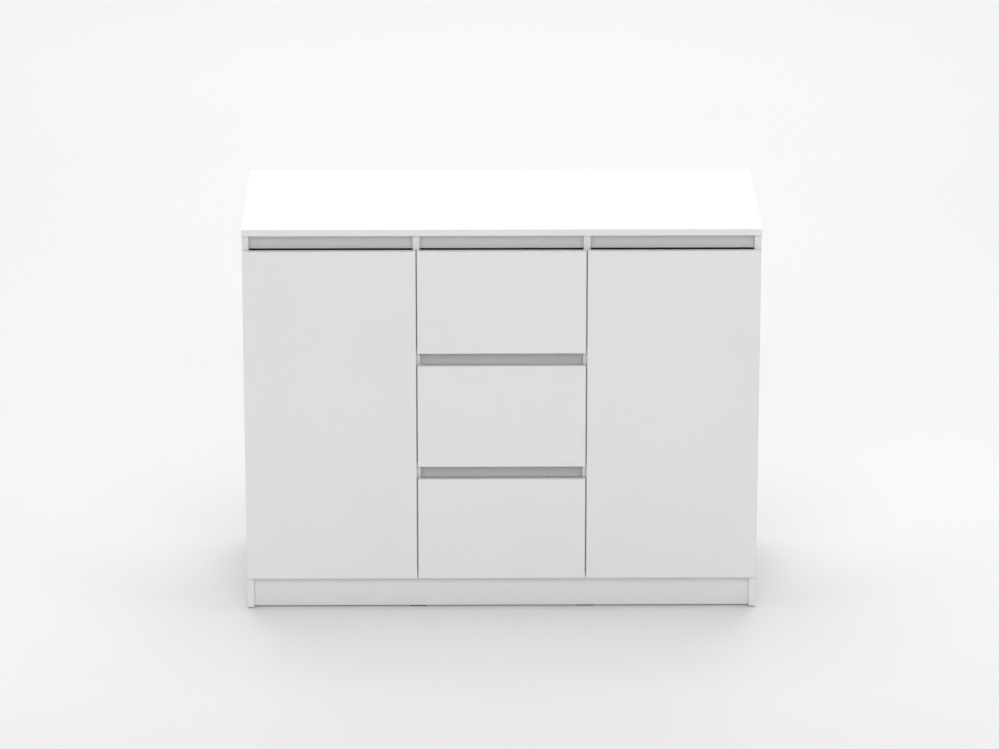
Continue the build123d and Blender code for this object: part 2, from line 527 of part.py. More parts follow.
for number, (front_low, box_low) in enumerate(zip(reversed(FRONT_BOTTOMS), reversed(BOX_BOTTOMS)), 1):
    prefix = f"drawer_{number}_"
    groove = (box_low + GROOVE_RISE - GROOVE_PLAY, box_low + GROOVE_RISE + HARDBOARD + GROOVE_PLAY)

    with BuildPart() as drawer_front:
        board((-FRONT_HALF, FRONT_HALF), (FRONT_FACE, FRONT_BACK), (front_low, front_low + FRONT_HEIGHT))
        chamfer(drawer_front.edges(), EDGE_BREAK)
        groove_half = BOX_IN + GROOVE_DEPTH
        board((-groove_half, groove_half), (BOX_FRONT - GROOVE_DEPTH, BOX_FRONT), groove, Mode.SUBTRACT)
        for x in (-DRAWER_SIDE_MID, DRAWER_SIDE_MID):
            for rise in DRAWER_DOWEL_RISES:
                rod((x, BOX_FRONT, box_low + rise), (0, -1, 0), DOWEL_RADIUS, DOWEL_IN_FACE, Mode.SUBTRACT)
    save(drawer_front, prefix + "front")

    with BuildPart() as drawer_sides:
        board((-BOX_OUT, -BOX_IN), (BOX_FRONT, BOX_BACK), (box_low, box_low + BOX_HEIGHT))
        board((-BOX_IN - GROOVE_DEPTH, -BOX_IN), (BOX_FRONT, BOX_BACK), groove, Mode.SUBTRACT)
        for rise in DRAWER_DOWEL_RISES:
            start = (-DRAWER_SIDE_MID, BOX_FRONT, box_low + rise)
            rod(start, (0, 1, 0), DOWEL_RADIUS, DOWEL_LENGTH - DOWEL_IN_FACE, Mode.SUBTRACT)
        for rise in DRAWER_SCREW_RISES:
            start = (-BOX_OUT, BOX_BACK - BOARD / 2, box_low + rise)
            rod(start, (1, 0, 0), CONFIRMAT_HEAD_RADIUS + FIT, CONFIRMAT_HEAD, Mode.SUBTRACT)
            rod(start, (1, 0, 0), CONFIRMAT_RADIUS + FIT, BOARD, Mode.SUBTRACT)
        mirror(about=Plane.YZ)
    save(drawer_sides, prefix + "sides")

    with BuildPart() as drawer_back:
        back_bottom = box_low + GROOVE_RISE + HARDBOARD
        board((-BOX_IN, BOX_IN), (BOX_BACK - BOARD, BOX_BACK), (back_bottom, box_low + BOX_HEIGHT))
        for x in (-1, 1):
            for rise in DRAWER_SCREW_RISES:
                start = (x * BOX_IN, BOX_BACK - BOARD / 2, box_low + rise)
                depth = CONFIRMAT_LENGTH - BOARD
                rod(start, (-x, 0, 0), CONFIRMAT_RADIUS, depth, Mode.SUBTRACT)
    save(drawer_back, prefix + "back")

    with BuildPart() as drawer_bottom:
        bottom_z = (box_low + GROOVE_RISE, box_low + GROOVE_RISE + HARDBOARD)
        board((-BOTTOM_OUT, BOTTOM_OUT), (BOTTOM_FRONT, BOX_BACK), bottom_z)
    save(drawer_bottom, prefix + "bottom")

    with BuildPart() as drawer_fasteners:
        for rise in DRAWER_DOWEL_RISES:
            dowel((-DRAWER_SIDE_MID, BOX_FRONT, box_low + rise), (0, -1, 0))
        for rise in DRAWER_SCREW_RISES:
            start = (-BOX_OUT, BOX_BACK - BOARD / 2, box_low + rise)
            rod(start, (1, 0, 0), CONFIRMAT_RADIUS, CONFIRMAT_LENGTH)
            rod(start, (1, 0, 0), CONFIRMAT_HEAD_RADIUS, CONFIRMAT_HEAD)
        for y in MEMBER_SCREWS_Y:
            screw((-DRAWER_SIDE_MID, y, box_low - SHEET), (0, 0, 1), MEMBER_SCREW_LENGTH)
        mirror(about=Plane.YZ)
    save(drawer_fasteners, prefix + "fasteners")

    # Drawer member: a sheet under and beside the drawer side, with a flange that runs on the
    # front roller and a stub axle for the rear roller.
    with BuildPart() as drawer_runners:
        web = (-BOX_OUT - SHEET, -BOX_OUT)
        flange = (-PARTITION_IN + FLANGE_WALL_GAP, -BOX_OUT)
        flange_z = (box_low + FRONT_FLANGE_RISE, box_low + FRONT_FLANGE_RISE + SHEET)
        board((web[0], -BOX_IN - MEMBER_LIP), (BOX_FRONT, BOX_BACK), (box_low - SHEET, box_low))
        board(web, (BOX_FRONT, BOX_BACK), (box_low - SHEET, flange_z[1]))
        board(flange, (BOX_FRONT, BOX_BACK), flange_z)
        axle_length = RUNNER_SPACE - SHEET - ROLLER_WALL_GAP + AXLE_PROUD
        rod((web[0], REAR_AXLE_Y, box_low + REAR_AXLE_RISE), (-1, 0, 0), AXLE_RADIUS, axle_length)
        for y in MEMBER_SCREWS_Y:
            rod((-DRAWER_SIDE_MID, y, box_low), (0, 0, -1), SCREW_HOLE_RADIUS, SHEET, Mode.SUBTRACT)
        mirror(about=Plane.YZ)
    save(drawer_runners, prefix + "runners")

    for axle_y, axle_rise, name in (
        (FRONT_AXLE_Y, FRONT_AXLE_RISE, "front_rollers"),
        (REAR_AXLE_Y, REAR_AXLE_RISE, "rear_rollers"),
    ):
        with BuildPart() as rollers:
            start = (-PARTITION_IN + ROLLER_WALL_GAP, axle_y, box_low + axle_rise)
            rod(start, (1, 0, 0), ROLLER_RADIUS, ROLLER_WIDTH)
            rod(start, (1, 0, 0), AXLE_RADIUS + AXLE_FIT, ROLLER_WIDTH, Mode.SUBTRACT)
            mirror(about=Plane.YZ)
        save(rollers, prefix + name)

# Cabinet members: an open channel on each partition, with the front roller's stub axle.
with BuildPart() as cabinet_runners:
    wall = -PARTITION_IN
    for box_low in BOX_BOTTOMS:
        low = box_low + CHANNEL_FLOOR - SHEET
        high = box_low + CHANNEL_ROOF + SHEET
        y_limits = (RUNNER_FRONT, RUNNER_BACK)
        board((wall, wall + SHEET), y_limits, (low, high))
        board((wall, wall + CHANNEL_WIDTH), y_limits, (low, low + SHEET))
        roof_front = FRONT_AXLE_Y + ROLLER_RADIUS + ROOF_GAP
        board((wall, wall + CHANNEL_WIDTH), (roof_front, RUNNER_BACK), (high - SHEET, high))
        axle_length = ROLLER_WALL_GAP + ROLLER_WIDTH + AXLE_PROUD
        rod((wall, FRONT_AXLE_Y, box_low + FRONT_AXLE_RISE), (1, 0, 0), AXLE_RADIUS, axle_length)
        for y in CHANNEL_SCREWS_Y:
            start = (wall, y, box_low + CHANNEL_SCREW_RISE)
            rod(start, (1, 0, 0), SCREW_HOLE_RADIUS, SHEET, Mode.SUBTRACT)
    mirror(about=Plane.YZ)
save(cabinet_runners, "cabinet_runners")

# ------------------------------------------------------------------ concealed cup hinges
# Each hinge is drawn in its own plane: x runs inward from the side panel's inner face, y runs
# forward from the carcass front edge, and the offset from the plane is measured along the pins.
# The arm carries two fixed pins; the inner link joins the first to a pin across the cup, and the
# outer link runs from the second towards a pair of stub pins in the cup's walls.
ARM_PIN_INNER = (10.3, -3.0)
ARM_PIN_OUTER = (26.0, -3.0)
DOOR_EDGE = (SIDE_IN - DOOR_OUT, FRONT_GAP + BOARD)
CUP_PIN_INNER = (DOOR_EDGE[0] + 10.5, DOOR_EDGE[1] - 12.5)
CUP_PIN_OUTER = (DOOR_EDGE[0] + 15.0, DOOR_EDGE[1] - 12.9)
CUP_CENTRE = (CUP_X + SIDE_IN, FRONT_GAP)
LINK_BOW = 5.4                    # the inner link arches this far round the door's edge
LINK_WIDTH = 2.4
LINK_EYE_RADIUS = 2.4
INNER_LAYER = (-3.5, 3.5)
OUTER_LAYERS = ((-4.8, -4.0), (4.0, 4.8))
CHEEK_LAYERS = ((-6.4, -5.2), (5.2, 6.4))
CUP_PIN_REACH = 11.6              # half the length of the pin across the cup
STUB_PIN_REACH = 14.6
STUB_LAYER_START = 5.1
OUTER_TIP_RADIUS = 1.5
PLATE_HALF_HEIGHT = 26.0
PLATE_HALF_WIDTH = 10.0
PLATE_SHEET = 1.4
RIDGE_HALF = 4.6
RIDGE_FRONT = 17.0                # from the plate's screw line to the ridge's front end
RIDGE_BACK = 27.0
RIDGE_HEIGHT = 10.8
CHEEK_OUTLINE = [
    (2.0, -64.0), (2.0, -18.0), (7.8, -4.5), (10.3, -0.3), (26.0, -0.3),
    (29.0, -3.0), (29.0, -9.0), (12.4, -30.0), (12.4, -64.0),
]
WEB_OUTLINE = [
    (11.2, -64.0), (11.2, -30.6), (27.8, -9.4), (29.0, -9.0), (12.4, -30.0), (12.4, -64.0),
]


def hinge_plane(level, offset=0.0):
    """The drawing plane of a left-hand hinge, offset downwards along its pins."""
    plane = Plane(origin=(-SIDE_IN, CARCASS_FRONT, level), x_dir=(1, 0, 0), z_dir=(0, 0, -1))
    return plane.offset(offset)


def hinge_slab(level, layer, draw, mode=Mode.ADD):
    """Extrude what draw() draws in the hinge plane through a layer of offsets."""
    with BuildSketch(hinge_plane(level, layer[0])) as profile:
        draw()
    extrude(profile.sketch, amount=layer[1] - layer[0], mode=mode)


def round_at(point, radius, mode=Mode.ADD):
    """A disc in a hinge profile."""
    with Locations(point):
        Circle(radius, mode=mode)


def draw_inner_link():
    """An arched bar between its two eyes, bored for both pins."""
    chord = Vector(*ARM_PIN_INNER) - Vector(*CUP_PIN_INNER)
    across = Vector(-chord.Y, chord.X).normalized() * LINK_BOW
    crown = Vector(*CUP_PIN_INNER) + chord / 2 + across
    with BuildLine() as centre_line:
        ThreePointArc(CUP_PIN_INNER, crown, ARM_PIN_INNER)
    SlotArc(centre_line.wire(), LINK_WIDTH)
    for eye in (CUP_PIN_INNER, ARM_PIN_INNER):
        round_at(eye, LINK_EYE_RADIUS)
    for eye in (CUP_PIN_INNER, ARM_PIN_INNER):
        round_at(eye, PIVOT_RADIUS + PIVOT_FIT, Mode.SUBTRACT)


def draw_outer_link():
    """A straight strip with an eye at each end, bored for the arm's pin."""
    start = Vector(*ARM_PIN_OUTER)
    end = Vector(*CUP_PIN_OUTER)
    run = end - start
    with Locations((start + end) / 2):
        Rectangle(run.length, LINK_WIDTH, rotation=Vector(1, 0).get_signed_angle(run, Vector(0, 0, 1)))
    round_at(ARM_PIN_OUTER, LINK_EYE_RADIUS)
    round_at(CUP_PIN_OUTER, OUTER_TIP_RADIUS)
    round_at(ARM_PIN_OUTER, PIVOT_RADIUS + PIVOT_FIT, Mode.SUBTRACT)


def draw_cheek():
    """A cheek of the arm."""
    Polygon(*CHEEK_OUTLINE, align=None)


def draw_web():
    """The arm's top web, which bends outward towards the outer pin."""
    Polygon(*WEB_OUTLINE, align=None)


with BuildPart() as left_inner_links:
    for level in HINGE_LEVELS:
        hinge_slab(level, INNER_LAYER, draw_inner_link)
save(left_inner_links, "left_inner_links")
mirrored(left_inner_links, "right_inner_links")

with BuildPart() as left_outer_links:
    for level in HINGE_LEVELS:
        for layer in OUTER_LAYERS:
            hinge_slab(level, layer, draw_outer_link)
save(left_outer_links, "left_outer_links")
mirrored(left_outer_links, "right_outer_links")

with BuildPart() as hinge_arms:
    for level in HINGE_LEVELS:
        for layer in CHEEK_LAYERS:
            hinge_slab(level, layer, draw_cheek)
        hinge_slab(level, (CHEEK_LAYERS[0][1], CHEEK_LAYERS[1][0]), draw_web)
        for pin in (ARM_PIN_INNER, ARM_PIN_OUTER):
            hinge_slab(level, (CHEEK_LAYERS[0][0], CHEEK_LAYERS[1][1]), lambda: round_at(pin, PIVOT_RADIUS))
    mirror(about=Plane.YZ)
save(hinge_arms, "hinge_arms")

PLATE_Y = CARCASS_FRONT + PLATE_SETBACK
with BuildPart() as hinge_plates:
    for level in HINGE_LEVELS:
        base_y = (PLATE_Y - PLATE_HALF_WIDTH, PLATE_Y + PLATE_HALF_WIDTH)
        base_z = (level - PLATE_HALF_HEIGHT, level + PLATE_HALF_HEIGHT)
        board((-SIDE_IN, -SIDE_IN + PLATE_SHEET), base_y, base_z)
        ridge_y = (PLATE_Y - RIDGE_FRONT, PLATE_Y + RIDGE_BACK)
        ridge_z = (level - RIDGE_HALF, level + RIDGE_HALF)
        board((-SIDE_IN, -SIDE_IN + RIDGE_HEIGHT), ridge_y, ridge_z)
        for rise in (-PLATE_SCREW_RISE, PLATE_SCREW_RISE):
            start = (-SIDE_IN, PLATE_Y, level + rise)
            rod(start, (1, 0, 0), SCREW_HOLE_RADIUS, PLATE_SHEET, Mode.SUBTRACT)
    mirror(about=Plane.YZ)
save(hinge_plates, "hinge_plates")

CUP_FLANGE_HALF_HEIGHT = 31.0
CUP_FLANGE_BACK = 15.0            # from the cup's centre, away from the door's edge
CUP_FLANGE_FRONT = 9.0
CUP_SCREW_RISE = 24.0
CUP_SCREW_SHIFT = 5.5             # the cup screws stand this far behind the cup's centre
NOTCH_HALF = 8.0
NOTCH_RIM = 4.0                   # the notch is this much shorter than the cup is wide
FLANGE_CORNER = 5.0
CUP_SCREW_HEAD = 0.6
CUP_SCREW_LENGTH = 11.0


def cup_flange_outline():
    """The flange seen along the door's thickness: ears above and below the cup."""
    with Locations(((CUP_FLANGE_BACK - CUP_FLANGE_FRONT) / 2, 0)):
        RectangleRounded(CUP_FLANGE_FRONT + CUP_FLANGE_BACK, 2 * CUP_FLANGE_HALF_HEIGHT, FLANGE_CORNER)


with BuildPart() as left_hinge_cups:
    for level in HINGE_LEVELS:
        mouth = (CUP_X, FRONT_BACK, level)
        with BuildSketch(Plane(mouth, x_dir=(1, 0, 0), z_dir=(0, 1, 0))) as flange:
            cup_flange_outline()
            with Locations((-CUP_RADIUS, 0)):
                Rectangle(2 * CUP_RADIUS - NOTCH_RIM, 2 * NOTCH_HALF, mode=Mode.SUBTRACT)
        extrude(flange.sketch, amount=CUP_FLANGE)
        rod(mouth, (0, -1, 0), CUP_RADIUS, CUP_DEPTH)
        inside = (CUP_X, FRONT_BACK + CUP_FLANGE, level)
        cavity = CUP_DEPTH + CUP_FLANGE - CUP_WALL
        rod(inside, (0, -1, 0), CUP_RADIUS - CUP_WALL, cavity, Mode.SUBTRACT)
        for rise in (-CUP_SCREW_RISE, CUP_SCREW_RISE):
            hole = (CUP_X + CUP_SCREW_SHIFT, FRONT_BACK, level + rise)
            rod(hole, (0, 1, 0), SCREW_HOLE_RADIUS, CUP_FLANGE, Mode.SUBTRACT)
        cup_pin = (-CUP_PIN_REACH, CUP_PIN_REACH)
        hinge_slab(level, cup_pin, lambda: round_at(CUP_PIN_INNER, PIVOT_RADIUS))
        for layer in ((-STUB_PIN_REACH, -STUB_LAYER_START), (STUB_LAYER_START, STUB_PIN_REACH)):
            hinge_slab(level, layer, lambda: round_at(CUP_PIN_OUTER, PIVOT_RADIUS))
save(left_hinge_cups, "left_hinge_cups")
mirrored(left_hinge_cups, "right_hinge_cups")

with BuildPart() as left_cup_screws:
    for level in HINGE_LEVELS:
        for rise in (-CUP_SCREW_RISE, CUP_SCREW_RISE):
            head = (CUP_X + CUP_SCREW_SHIFT, FRONT_BACK + CUP_FLANGE, level + rise)
            rod(head, (0, -1, 0), SCREW_RADIUS, CUP_SCREW_LENGTH)
            rod(head, (0, 1, 0), SCREW_HEAD_RADIUS, CUP_SCREW_HEAD)
save(left_cup_screws, "left_cup_screws")
mirrored(left_cup_screws, "right_cup_screws")

# ------------------------------------------------------------------ screws of plates and cabinet runners
with BuildPart() as wood_screws:
    for level in HINGE_LEVELS:
        for rise in (-PLATE_SCREW_RISE, PLATE_SCREW_RISE):
            screw((PLATE_SHEET - SIDE_IN, PLATE_Y, level + rise), (-1, 0, 0))
    for box_low in BOX_BOTTOMS:
        for y in CHANNEL_SCREWS_Y:
            screw((SHEET - PARTITION_IN, y, box_low + CHANNEL_SCREW_RISE), (-1, 0, 0))
    mirror(about=Plane.YZ)
save(wood_screws, "wood_screws")
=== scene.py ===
import math

import bpy
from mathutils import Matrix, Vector


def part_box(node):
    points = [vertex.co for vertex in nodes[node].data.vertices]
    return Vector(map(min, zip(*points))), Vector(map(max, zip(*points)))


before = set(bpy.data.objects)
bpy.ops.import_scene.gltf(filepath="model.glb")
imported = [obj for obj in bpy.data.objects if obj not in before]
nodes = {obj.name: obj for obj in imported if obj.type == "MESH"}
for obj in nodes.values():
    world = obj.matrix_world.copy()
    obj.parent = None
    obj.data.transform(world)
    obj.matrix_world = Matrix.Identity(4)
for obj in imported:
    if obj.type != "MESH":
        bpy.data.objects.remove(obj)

# The sideboard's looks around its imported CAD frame. Metres: X runs right, the fronts face -Y, Z is up.
MM = 0.001
BOARD = 16 * MM  # thickness of the laminated chipboard
SIDES = ("left", "right")
DRAWERS = (1, 2, 3)
X, Y, Z = range(3)
LOW, HIGH = 0, 1  # the two ends of a box on an axis

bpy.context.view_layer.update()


# ------------------------------------------------------------------ material building
class Shade:
    """One procedural material, built up node by node in the object's own metres."""

    def __init__(self, name, metallic=0.0, ior=1.5):
        self.material = bpy.data.materials.new(name)
        self.material.use_nodes = True
        self.tree = self.material.node_tree
        self.shader = self.tree.nodes["Principled BSDF"]
        self.shader.inputs["Metallic"].default_value = metallic
        self.shader.inputs["IOR"].default_value = ior
        self.place = self.tree.nodes.new("ShaderNodeTexCoord").outputs["Object"]
        split = self.tree.nodes.new("ShaderNodeSeparateXYZ")
        self.put(split.inputs[0], self.place)
        self.axes = list(split.outputs)

    def put(self, socket, value):
        """Link another node's output into a socket, or set the socket's own value."""
        if isinstance(value, bpy.types.NodeSocket):
            self.tree.links.new(value, socket)
        else:
            socket.default_value = value

    def math(self, operation, *values):
        """A Math node over the values given."""
        made = self.tree.nodes.new("ShaderNodeMath")
        made.operation = operation
        for socket, value in zip(made.inputs, values):
            self.put(socket, value)
        return made.outputs[0]

    def add(self, first, second):
        """The sum of two values."""
        return self.math("ADD", first, second)

    def times(self, first, second):
        """The product of two values."""
        return self.math("MULTIPLY", first, second)

    def distance(self, first, second):
        """How far apart two values are."""
        return self.math("ABSOLUTE", self.math("SUBTRACT", first, second))

    def between(self, value, low, high, at_low=0.0, at_high=1.0):
        """The value carried smoothly from low..high to at_low..at_high, and held outside it."""
        made = self.tree.nodes.new("ShaderNodeMapRange")
        made.interpolation_type = "SMOOTHSTEP"
        for socket, number in zip(made.inputs, (value, low, high, at_low, at_high)):
            self.put(socket, number)
        return made.outputs[0]

    def stretched(self, stretch):
        """The place, scaled on each axis, so that a pattern runs along one of them."""
        made = self.tree.nodes.new("ShaderNodeMapping")
        self.put(made.inputs["Vector"], self.place)
        made.inputs["Scale"].default_value = stretch
        return made.outputs[0]

    def noise(self, size, detail=2.0, stretch=None):
        """Cloudy noise, 0 to 1, with features about size metres across."""
        made = self.tree.nodes.new("ShaderNodeTexNoise")
        self.put(made.inputs["Vector"], self.stretched(stretch) if stretch else self.place)
        made.inputs["Scale"].default_value = 1 / size
        made.inputs["Detail"].default_value = detail
        return made.outputs["Fac"]

    def cells(self, size):
        """Cells about size metres across, each with its own random value, for chips."""
        made = self.tree.nodes.new("ShaderNodeTexVoronoi")
        self.put(made.inputs["Vector"], self.place)
        made.inputs["Scale"].default_value = 1 / size
        return made.outputs["Color"]

    def mix(self, share, first, second):
        """First colour where share is 0, second where it is 1."""
        made = self.tree.nodes.new("ShaderNodeMix")
        made.data_type = "RGBA"
        for name, value in (("Factor_Float", share), ("A_Color", first), ("B_Color", second)):
            socket = next(s for s in made.inputs if s.identifier == name)
            if isinstance(value, tuple):
                value = (*value, 1.0)
            self.put(socket, value)
        return next(s for s in made.outputs if s.identifier == "Result_Color")

    def bump(self, height, depth, strength, under=None):
        """A normal from a height of 0 to 1 that stands depth metres tall."""
        made = self.tree.nodes.new("ShaderNodeBump")
        made.inputs["Strength"].default_value = strength
        made.inputs["Distance"].default_value = depth
        self.put(made.inputs["Height"], height)
        if under is not None:
            self.put(made.inputs["Normal"], under)
        return made.outputs[0]

    def finish(self, colour, roughness, normal):
        """Feed the shader, and give the material back."""
        self.put(self.shader.inputs["Base Color"], colour)
        self.put(self.shader.inputs["Roughness"], roughness)
        self.put(self.shader.inputs["Normal"], normal)
        return self.material


def dress(node, material):
    """Give every material slot of a CAD node this material."""
    for used in nodes[node].material_slots:
        used.material = material


# Noise levels at which a pattern sets in and is full, from clouds over everything to rare spots.
WIDE_CLOUDS = (0.3, 0.75)
GRAIN = (0.3, 0.7)
CLOUDS = (0.35, 0.7)
SHARP_CLOUDS = (0.35, 0.65)
LIGHT_CLOUDS = (0.4, 0.7)
PATCHES = (0.48, 0.66)
RUBS = (0.55, 0.7)
FLECKS = (0.56, 0.72)
SCUFFS = (0.58, 0.72)
FEW_FLECKS = (0.62, 0.7)
RARE_FLAKES = (0.66, 0.74)
MOST_CHIPS = (0.25, 0.75)
FEW_CHIPS = (0.72, 0.80)

# ------------------------------------------------------------------ laminated chipboard
WHITE = (0.784, 0.784, 0.784)
WHITE_SHADE = (0.770, 0.770, 0.770)
BAND_LINE = (0.60, 0.598, 0.592)
CHIP_LIGHT = (0.60, 0.44, 0.27)
CHIP_MID = (0.42, 0.28, 0.15)
CHIP_DARK = (0.16, 0.09, 0.05)

SKIN = 0.6 * MM  # laminate and edge band, before the chipboard shows
SKIN_EDGE = 0.1 * MM  # the chipboard sets in over this depth
FACE_EDGE = (0.05 * MM, 0.12 * MM)  # depth at which a face ends and an edge begins
BAND = 0.55 * MM  # the joint between a face and its edge band
BAND_JOINT = 0.28 * MM
JOINT_SHARE = 0.55
JOINT_CORE, JOINT_RIM = 0.3, 0.7  # shares of the joint's width

CLOUD = 350 * MM
FIBRE = 2.2 * MM
FIBRE_SHARE = 0.06
WEAR_REACH = (0.2 * MM, 2.4 * MM)  # rubbed strip along the edges
WEAR_PATCH = 14 * MM
WEAR_SHARE = 0.16
CHIP = 1.7 * MM
LARGE_CHIP = 3.1 * MM
CHIP_DEPTH = 0.35 * MM
SMUDGE = 120 * MM
SATIN = (0.385, 0.435)  # roughness of the laminate
CORE_ROUGHER = 0.4
PEARL = 0.9 * MM
PEARL_DEPTH = 0.016 * MM
RIPPLE = 9 * MM
RIPPLE_DEPTH = 0.03 * MM


def depth_inside(shade, node, axis, folded):
    """How far the surface lies inside the board's own box along one axis."""
    low, high = (corner[axis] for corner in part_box(node))
    middle, half = (low + high) / 2, (high - low) / 2
    offset = shade.distance(shade.axes[axis], middle)
    if folded:  # two equal boards, one each side of the middle
        offset = shade.distance(offset, half - BOARD / 2)
        half = BOARD / 2
    return shade.math("SUBTRACT", half, offset)


def laminate(shade, across, rim, nearest_edge):
    """White laminate with faint clouds and fibres, the joint of its edge band, and rubbed edges."""
    white = shade.mix(shade.between(shade.noise(CLOUD, 3.0), *CLOUDS), WHITE, WHITE_SHADE)
    fibres = shade.between(shade.noise(FIBRE, 3.0), *FLECKS)
    white = shade.mix(shade.times(fibres, FIBRE_SHARE), white, BAND_LINE)

    from_joint = shade.distance(rim, BAND + BAND_JOINT / 2)
    joint = shade.between(from_joint, BAND_JOINT * JOINT_CORE, BAND_JOINT * JOINT_RIM, 1.0, 0.0)
    on_face = shade.between(across, *FACE_EDGE, 1.0, 0.0)
    joint = shade.times(shade.times(joint, on_face), JOINT_SHARE)
    white = shade.mix(joint, white, BAND_LINE)

    near = shade.between(nearest_edge, *WEAR_REACH, 1.0, 0.0)
    wear = shade.times(near, shade.between(shade.noise(WEAR_PATCH, 4.0), *PATCHES))
    return shade.mix(shade.times(wear, WEAR_SHARE), white, BAND_LINE)


def melamine(node, thin, folded=False):
    """A laminated board, thin along one axis, with raw chipboard inside every bore and groove."""
    shade = Shade(f"melamine_{node}")
    depths = [depth_inside(shade, node, axis, folded and axis == thin) for axis in range(3)]
    across = depths[thin]
    first, second = (depths[axis] for axis in range(3) if axis != thin)
    rim = shade.math("MINIMUM", first, second)
    inside = shade.math("MINIMUM", across, rim)
    corner = shade.math("MINIMUM", shade.math("MAXIMUM", first, second), shade.math("MAXIMUM", across, rim))
    nearest_edge = shade.math("MAXIMUM", inside, corner)
    white = laminate(shade, across, rim, nearest_edge)

    chips = shade.cells(CHIP)
    grain = shade.mix(shade.between(chips, *MOST_CHIPS), CHIP_MID, CHIP_LIGHT)
    grain = shade.mix(shade.between(shade.cells(LARGE_CHIP), *FEW_CHIPS), grain, CHIP_DARK)
    core = shade.between(inside, SKIN, SKIN + SKIN_EDGE)
    colour = shade.mix(core, white, grain)

    satin = shade.between(shade.noise(SMUDGE, 5.0), *WIDE_CLOUDS, *SATIN)
    roughness = shade.add(satin, shade.times(core, CORE_ROUGHER))
    normal = shade.bump(shade.noise(PEARL, 1.0), PEARL_DEPTH, 0.55)
    normal = shade.bump(shade.noise(RIPPLE), RIPPLE_DEPTH, 0.35, normal)
    normal = shade.bump(shade.times(core, chips), CHIP_DEPTH, 0.8, normal)
    return shade.finish(colour, roughness, normal)


BOARDS = {  # the axis along which each board is thin
    "top_panel": Z,
    "bottom_panel": Z,
    "left_side_panel": X,
    "right_side_panel": X,
    "left_partition": X,
    "right_partition": X,
    "plinth_board": Y,
    "rear_plinth_board": Y,
    "top_rails": Y,
    "drawer_rails": Y,
    "left_door": Y,
    "right_door": Y,
}
for name, thin in BOARDS.items():
    dress(name, melamine(name, thin))
for side in SIDES:
    dress(f"{side}_shelves", melamine(f"{side}_shelves", Z, folded=True))
for number in DRAWERS:
    dress(f"drawer_{number}_front", melamine(f"drawer_{number}_front", Y))
    dress(f"drawer_{number}_back", melamine(f"drawer_{number}_back", Y))
    dress(f"drawer_{number}_sides", melamine(f"drawer_{number}_sides", X, folded=True))

# ------------------------------------------------------------------ hardboard
HARDBOARD_LIGHT = (0.36, 0.235, 0.135)
HARDBOARD_DARK = (0.215, 0.13, 0.07)
LACQUER = (0.79, 0.79, 0.775)
FILM = 0.2 * MM  # lacquered skin
FILM_EDGE = 1.5  # the bare fibre is full at this multiple of the film
PRESSED_FIBRE = 0.7 * MM
BLOTCH = 60 * MM
FLAKE = 4 * MM
DENT = 2.5 * MM


def hardboard(node, axis, white_end):
    """Thin hardboard: white lacquer on the face at one end of an axis, bare pressed fibre elsewhere."""
    shade = Shade(f"hardboard_{node}")
    away = shade.distance(shade.axes[axis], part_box(node)[white_end][axis])
    bare = shade.between(away, FILM, FILM * FILM_EDGE)
    fibre = shade.noise(PRESSED_FIBRE, 6.0)
    blotch = shade.noise(BLOTCH, 4.0)
    brown = shade.mix(shade.between(fibre, *SHARP_CLOUDS), HARDBOARD_DARK, HARDBOARD_LIGHT)
    brown = shade.mix(shade.between(blotch, *WIDE_CLOUDS, 0.0, 0.45), brown, HARDBOARD_LIGHT)
    flake = shade.between(shade.noise(FLAKE, 3.0), *RARE_FLAKES, 0.0, 0.5)
    brown = shade.mix(flake, brown, CHIP_DARK)
    white = shade.mix(shade.between(blotch, *LIGHT_CLOUDS), LACQUER, WHITE_SHADE)
    colour = shade.mix(bare, white, brown)
    roughness = shade.between(shade.add(bare, shade.times(fibre, 0.3)), 0.0, 1.3, 0.34, 0.66)
    normal = shade.bump(fibre, 0.02 * MM, 0.5)
    normal = shade.bump(shade.times(bare, shade.noise(DENT, 3.0)), 0.05 * MM, 0.5, normal)
    return shade.finish(colour, roughness, normal)


dress("back_panel", hardboard("back_panel", Y, LOW))
for number in DRAWERS:
    dress(f"drawer_{number}_bottom", hardboard(f"drawer_{number}_bottom", Z, HIGH))

# ------------------------------------------------------------------ metals
PLATE_CLOUD = 6 * MM
FINE_MARK = 0.5 * MM
RUBBED_SPOT = 2.5 * MM


def metal(name, bright, dull, low, high, stretch=(1.0, 1.0, 1.0), pit=0.01 * MM):
    """Bare metal, roughness low to high: a cloudy plate, fine marks one way, scattered rubbed spots."""
    shade = Shade(name, metallic=1.0)
    cloud = shade.noise(PLATE_CLOUD, 4.0)
    marks = shade.noise(FINE_MARK, 3.0, stretch)
    rubbed = shade.between(shade.noise(RUBBED_SPOT, 5.0), *RUBS)
    colour = shade.mix(shade.between(cloud, *SHARP_CLOUDS), bright, dull)
    colour = shade.mix(shade.times(rubbed, 0.25), colour, dull)
    roughness = shade.between(shade.add(marks, shade.times(rubbed, 0.3)), 0.3, 0.95, low, high)
    normal = shade.bump(marks, pit, 0.6)
    normal = shade.bump(cloud, pit * 3, 0.4, normal)
    return shade.finish(colour, roughness, normal)


NICKEL = metal("nickel_plate", (0.76, 0.75, 0.72), (0.60, 0.59, 0.56), 0.16, 0.34, (1.0, 0.12, 1.0))
BRIGHT_ZINC = metal("zinc_plate", (0.70, 0.72, 0.74), (0.52, 0.54, 0.57), 0.24, 0.44, (1.0, 1.0, 0.2))
CAST_ZINC = metal("cast_zinc", (0.56, 0.56, 0.57), (0.40, 0.40, 0.41), 0.40, 0.60, pit=0.05 * MM)

# ------------------------------------------------------------------ painted steel, plastics, wood
EPOXY_WHITE = (0.80, 0.80, 0.78)
EPOXY_DUSTY = (0.75, 0.745, 0.72)
EPOXY_SCUFFED = (0.48, 0.48, 0.47)


